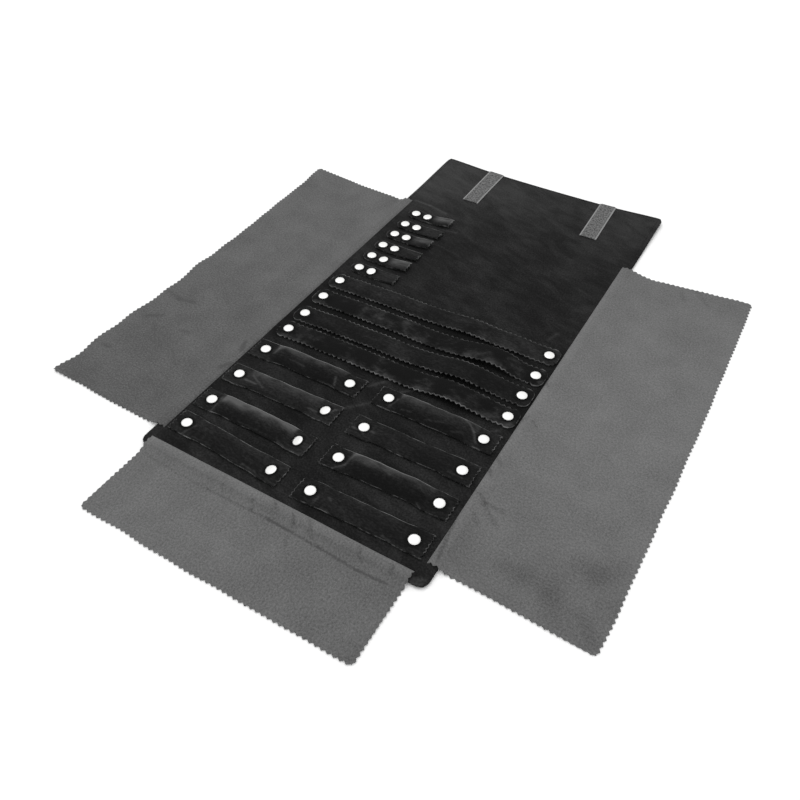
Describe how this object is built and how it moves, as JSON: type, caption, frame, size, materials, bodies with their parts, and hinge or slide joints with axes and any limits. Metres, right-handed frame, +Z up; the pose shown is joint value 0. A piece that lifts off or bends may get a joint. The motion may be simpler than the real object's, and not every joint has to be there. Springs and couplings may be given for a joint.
{
  "type": "jewelry roll",
  "caption": "Padded velvet jewelry roll laid open, with pinked cloth flaps on three sides, rows of straps closed by snaps and a closing end with hook tapes.",
  "frame": {"origin": "centre of the laid-out roll's outline, on the surface that it lies on", "axes": "+Y along the panel from the foot flap to the closing end, +X to the right across it, +Z up out of the lining"},
  "size_m": [0.58, 0.681, 0.0125],
  "materials": {
    "velvet": "matte",
    "suede_cloth": "matte",
    "foam": "matte",
    "pile_tape": "matte",
    "snap_metal": "gloss"
  },
  "bodies": {
    "panel": {"outer_cover": "velvet", "padding": "foam", "lining": "velvet", "loop_tape_left": "pile_tape", "loop_tape_right": "pile_tape", "bracelet_strap_left_1_anchor": "velvet", "bracelet_strap_right_1_anchor": "velvet", "bracelet_strap_left_2_anchor": "velvet", "bracelet_strap_right_2_anchor": "velvet", "bracelet_strap_left_3_anchor": "velvet", "bracelet_strap_right_3_anchor": "velvet", "bracelet_strap_left_4_anchor": "velvet", "bracelet_strap_right_4_anchor": "velvet", "ring_bar_1_anchor": "velvet", "ring_bar_2_anchor": "velvet", "ring_bar_3_anchor": "velvet", "ring_bar_4_anchor": "velvet", "necklace_strap_1_anchor": "velvet", "necklace_strap_2_anchor": "velvet", "necklace_strap_3_anchor": "velvet", "necklace_strap_4_anchor": "velvet", "necklace_strap_5_anchor": "velvet", "necklace_strap_6_anchor": "velvet"},
    "closing_end": {"closing_cover": "velvet", "closing_padding": "foam", "closing_lining": "velvet", "hook_tape_left": "pile_tape", "hook_tape_right": "pile_tape"},
    "left_flap": {"left_flap": "suede_cloth"},
    "right_flap": {"right_flap": "suede_cloth"},
    "foot_flap": {"foot_flap": "suede_cloth"},
    "bracelet_strap_left_1": {"bracelet_strap_left_1": "velvet"},
    "bracelet_strap_right_1": {"bracelet_strap_right_1": "velvet"},
    "bracelet_strap_left_2": {"bracelet_strap_left_2": "velvet"},
    "bracelet_strap_right_2": {"bracelet_strap_right_2": "velvet"},
    "bracelet_strap_left_3": {"bracelet_strap_left_3": "velvet"},
    "bracelet_strap_right_3": {"bracelet_strap_right_3": "velvet"},
    "bracelet_strap_left_4": {"bracelet_strap_left_4": "velvet"},
    "bracelet_strap_right_4": {"bracelet_strap_right_4": "velvet"},
    "ring_bar_1": {"ring_bar_1": "velvet"},
    "ring_bar_2": {"ring_bar_2": "velvet"},
    "ring_bar_3": {"ring_bar_3": "velvet"},
    "ring_bar_4": {"ring_bar_4": "velvet"},
    "necklace_strap_1": {"necklace_strap_1": "velvet"},
    "necklace_strap_2": {"necklace_strap_2": "velvet"},
    "necklace_strap_3": {"necklace_strap_3": "velvet"},
    "necklace_strap_4": {"necklace_strap_4": "velvet"},
    "necklace_strap_5": {"necklace_strap_5": "velvet"},
    "necklace_strap_6": {"necklace_strap_6": "velvet"}
  },
  "joints": [
    {"name": "left_flap_fold", "type": "hinge", "parent": "panel", "child": "left_flap", "pos_m": [-0.137, -0.00575, 0.0078], "axis": [0, -1, 0], "range_deg": [-179.5, 0]},
    {"name": "right_flap_fold", "type": "hinge", "parent": "panel", "child": "right_flap", "pos_m": [0.143, -0.00575, 0.0086], "axis": [0, 1, 0], "range_deg": [-179.5, 0]},
    {"name": "foot_flap_fold", "type": "hinge", "parent": "panel", "child": "foot_flap", "pos_m": [-0.0003, -0.2495, 0.01], "axis": [1, 0, 0], "range_deg": [-179.5, 0]},
    {"name": "closing_end_fold", "type": "hinge", "parent": "panel", "child": "closing_end", "pos_m": [0.003, 0.2285, 0.0127], "axis": [-1, 0, 0], "range_deg": [-179.5, 0]},
    {"name": "bracelet_strap_left_1_open", "type": "hinge", "parent": "panel", "child": "bracelet_strap_left_1", "pos_m": [-0.111, -0.22675, 0.0075], "axis": [0, -1, 0], "range_deg": [0, 135]},
    {"name": "bracelet_strap_right_1_open", "type": "hinge", "parent": "panel", "child": "bracelet_strap_right_1", "pos_m": [0.1148, -0.22675, 0.0075], "axis": [0, 1, 0], "range_deg": [0, 135]},
    {"name": "bracelet_strap_left_2_open", "type": "hinge", "parent": "panel", "child": "bracelet_strap_left_2", "pos_m": [-0.111, -0.18555, 0.0075], "axis": [0, -1, 0], "range_deg": [0, 135]},
    {"name": "bracelet_strap_right_2_open", "type": "hinge", "parent": "panel", "child": "bracelet_strap_right_2", "pos_m": [0.1148, -0.18555, 0.0075], "axis": [0, 1, 0], "range_deg": [0, 135]},
    {"name": "bracelet_strap_left_3_open", "type": "hinge", "parent": "panel", "child": "bracelet_strap_left_3", "pos_m": [-0.111, -0.14435, 0.0075], "axis": [0, -1, 0], "range_deg": [0, 135]},
    {"name": "bracelet_strap_right_3_open", "type": "hinge", "parent": "panel", "child": "bracelet_strap_right_3", "pos_m": [0.1148, -0.14435, 0.0075], "axis": [0, 1, 0], "range_deg": [0, 135]},
    {"name": "bracelet_strap_left_4_open", "type": "hinge", "parent": "panel", "child": "bracelet_strap_left_4", "pos_m": [-0.111, -0.10315, 0.0075], "axis": [0, -1, 0], "range_deg": [0, 135]},
    {"name": "bracelet_strap_right_4_open", "type": "hinge", "parent": "panel", "child": "bracelet_strap_right_4", "pos_m": [0.1148, -0.10315, 0.0075], "axis": [0, 1, 0], "range_deg": [0, 135]},
    {"name": "ring_bar_1_open", "type": "hinge", "parent": "panel", "child": "ring_bar_1", "pos_m": [-0.1106, -0.0657, 0.0075], "axis": [0, -1, 0], "range_deg": [0, 135]},
    {"name": "ring_bar_2_open", "type": "hinge", "parent": "panel", "child": "ring_bar_2", "pos_m": [-0.1106, -0.0332, 0.0075], "axis": [0, -1, 0], "range_deg": [0, 135]},
    {"name": "ring_bar_3_open", "type": "hinge", "parent": "panel", "child": "ring_bar_3", "pos_m": [-0.1106, -0.0007, 0.0075], "axis": [0, -1, 0], "range_deg": [0, 135]},
    {"name": "ring_bar_4_open", "type": "hinge", "parent": "panel", "child": "ring_bar_4", "pos_m": [-0.1106, 0.0318, 0.0075], "axis": [0, -1, 0], "range_deg": [0, 135]},
    {"name": "necklace_strap_1_open", "type": "hinge", "parent": "panel", "child": "necklace_strap_1", "pos_m": [-0.107, 0.0613, 0.0075], "axis": [0, -1, 0], "range_deg": [0, 110]},
    {"name": "necklace_strap_2_open", "type": "hinge", "parent": "panel", "child": "necklace_strap_2", "pos_m": [-0.107, 0.0874, 0.0075], "axis": [0, -1, 0], "range_deg": [0, 110]},
    {"name": "necklace_strap_3_open", "type": "hinge", "parent": "panel", "child": "necklace_strap_3", "pos_m": [-0.107, 0.1135, 0.0075], "axis": [0, -1, 0], "range_deg": [0, 110]},
    {"name": "necklace_strap_4_open", "type": "hinge", "parent": "panel", "child": "necklace_strap_4", "pos_m": [-0.107, 0.1396, 0.0075], "axis": [0, -1, 0], "range_deg": [0, 110]},
    {"name": "necklace_strap_5_open", "type": "hinge", "parent": "panel", "child": "necklace_strap_5", "pos_m": [-0.107, 0.1657, 0.0075], "axis": [0, -1, 0], "range_deg": [0, 110]},
    {"name": "necklace_strap_6_open", "type": "hinge", "parent": "panel", "child": "necklace_strap_6", "pos_m": [-0.107, 0.1918, 0.0075], "axis": [0, -1, 0], "range_deg": [0, 110]}
  ]
}
